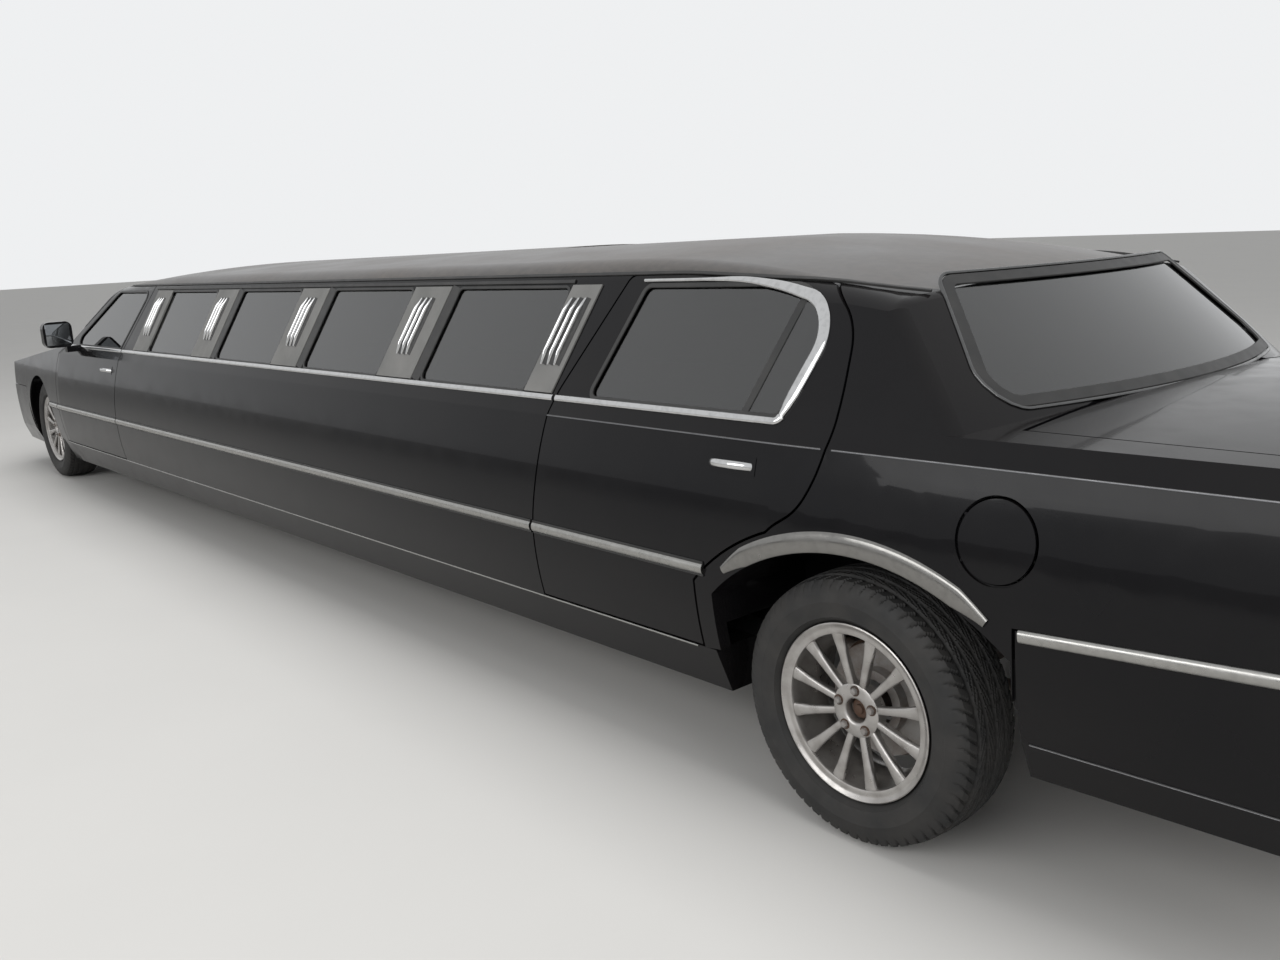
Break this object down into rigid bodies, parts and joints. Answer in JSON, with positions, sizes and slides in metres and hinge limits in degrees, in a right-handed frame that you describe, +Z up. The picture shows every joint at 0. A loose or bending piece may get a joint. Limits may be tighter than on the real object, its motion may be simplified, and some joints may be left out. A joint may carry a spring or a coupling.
{
  "type": "stretched luxury sedan limousine",
  "caption": "Black stretched luxury sedan with raked body, tinted stretch windows between bright-barred grey pillars, opening doors, hood and trunk, on alloy wheels.",
  "frame": {"origin": "centre of the car's footprint on the road", "axes": "+X towards the nose, +Y to the car's left, +Z up"},
  "size_m": [9.6668, 2.26, 1.5065],
  "materials": {
    "body_paint": "gloss black",
    "roof_paint": "satin dusty brown-black",
    "bumper_paint": "gloss black",
    "tinted_glass": "dark tint",
    "grille_chrome": "polished",
    "headlamp_lens": "clear lens",
    "tail_lamp_lens": "red lens",
    "chassis_steel": "satin black",
    "engine_casting": "cast",
    "radiator_core": "matt black fins",
    "exhaust_steel": "dull",
    "tank_steel": "satin black",
    "floor_carpet": "dark carpet",
    "seat_leather": "black leather",
    "bar_wood": "polished dark wood",
    "partition_trim": "satin",
    "dash_plastic": "grained",
    "wheel_leather": "stitched",
    "alloy_wheel": "machined silver",
    "tyre_rubber": "worn rubber"
  },
  "bodies": {
    "body": {"chassis_frame": "chassis_steel", "floor_pan": "floor_carpet", "roof_panel": "roof_paint", "side_panels": "body_paint", "rear_quarters": "body_paint", "front_fenders": "body_paint", "windshield_frame": "body_paint", "fixed_glass": "tinted_glass", "front_bumper": "bumper_paint", "rear_bumper": "bumper_paint", "grille": "grille_chrome", "headlamps": "headlamp_lens", "tail_lamps": "tail_lamp_lens", "radiator": "radiator_core", "engine_block": "engine_casting", "driveline": "chassis_steel", "rear_axle": "chassis_steel", "front_suspension": "chassis_steel", "exhaust_pipes": "exhaust_steel", "fuel_tank": "tank_steel", "front_seats": "seat_leather", "rear_bench": "seat_leather", "side_bench": "seat_leather", "bar_cabinet": "bar_wood", "partition_wall": "partition_trim", "dashboard": "dash_plastic"},
    "hood": {"hood": "body_paint"},
    "trunk_lid": {"trunk_lid": "body_paint"},
    "fuel_door": {"fuel_door": "body_paint"},
    "steering_wheel": {"steering_wheel": "wheel_leather"},
    "knuckle_left": {"knuckle_left": "chassis_steel"},
    "wheel_front_left": {"rim_front_left": "alloy_wheel", "tyre_front_left": "tyre_rubber"},
    "front_door_left": {"front_door_left": "body_paint", "front_door_glass_left": "tinted_glass"},
    "wheel_rear_left": {"rim_rear_left": "alloy_wheel", "tyre_rear_left": "tyre_rubber"},
    "rear_door_left": {"rear_door_left": "body_paint", "rear_door_glass_left": "tinted_glass"},
    "knuckle_right": {"knuckle_right": "chassis_steel"},
    "wheel_front_right": {"rim_front_right": "alloy_wheel", "tyre_front_right": "tyre_rubber"},
    "front_door_right": {"front_door_right": "body_paint", "front_door_glass_right": "tinted_glass"},
    "wheel_rear_right": {"rim_rear_right": "alloy_wheel", "tyre_rear_right": "tyre_rubber"},
    "rear_door_right": {"rear_door_right": "body_paint", "rear_door_glass_right": "tinted_glass"}
  },
  "joints": [
    {"name": "steer_left", "type": "hinge", "parent": "body", "child": "knuckle_left", "pos_m": [3.7639, 0.725, 0.351], "axis": [0, 0, 1], "range_deg": [-33, 33]},
    {"name": "spin_front_left", "type": "hinge", "parent": "knuckle_left", "child": "wheel_front_left", "pos_m": [3.7639, 0.805, 0.351], "axis": [0, 1, 0], "continuous": true},
    {"name": "spin_rear_left", "type": "hinge", "parent": "body", "child": "wheel_rear_left", "pos_m": [-3.4171, 0.8305, 0.351], "axis": [0, 1, 0], "continuous": true},
    {"name": "front_door_left_hinge", "type": "hinge", "parent": "body", "child": "front_door_left", "pos_m": [3.16761, 0.978, 0.57812], "axis": [-0.014, 0, -0.9999], "range_deg": [0, 68]},
    {"name": "rear_door_left_hinge", "type": "hinge", "parent": "body", "child": "rear_door_left", "pos_m": [-2.23986, 0.978, 0.65363], "axis": [-0.014, 0, -0.9999], "range_deg": [0, 65]},
    {"name": "steer_right", "type": "hinge", "parent": "body", "child": "knuckle_right", "pos_m": [3.7639, -0.725, 0.351], "axis": [0, 0, 1], "range_deg": [-33, 33]},
    {"name": "spin_front_right", "type": "hinge", "parent": "knuckle_right", "child": "wheel_front_right", "pos_m": [3.7639, -0.805, 0.351], "axis": [0, 1, 0], "continuous": true},
    {"name": "spin_rear_right", "type": "hinge", "parent": "body", "child": "wheel_rear_right", "pos_m": [-3.4171, -0.8305, 0.351], "axis": [0, 1, 0], "continuous": true},
    {"name": "front_door_right_hinge", "type": "hinge", "parent": "body", "child": "front_door_right", "pos_m": [3.16761, -0.978, 0.57812], "axis": [0.014, 0, 0.9999], "range_deg": [0, 68]},
    {"name": "rear_door_right_hinge", "type": "hinge", "parent": "body", "child": "rear_door_right", "pos_m": [-2.23986, -0.978, 0.65363], "axis": [0.014, 0, 0.9999], "range_deg": [0, 65]},
    {"name": "hood_hinge", "type": "hinge", "parent": "body", "child": "hood", "pos_m": [3.31082, 0, 0.95003], "axis": [0, -1, 0], "range_deg": [0, 55]},
    {"name": "trunk_hinge", "type": "hinge", "parent": "body", "child": "trunk_lid", "pos_m": [-3.94208, 0, 1.0794], "axis": [0, 1, 0], "range_deg": [0, 80]},
    {"name": "fuel_door_hinge", "type": "hinge", "parent": "body", "child": "fuel_door", "pos_m": [-3.75396, 0.9571, 0.87179], "axis": [-0.0138, 0.1587, -0.9872], "range_deg": [0, 100]},
    {"name": "steering_wheel_turn", "type": "hinge", "parent": "body", "child": "steering_wheel", "pos_m": [2.67459, 0.385, 0.79502], "axis": [-0.9003, 0, 0.4352], "range_deg": [-500, 500]}
  ],
  "couplings": [
    {"joint": "steer_right", "follows": "steer_left", "ratio": 1},
    {"joint": "steering_wheel_turn", "follows": "steer_left", "ratio": 15}
  ]
}
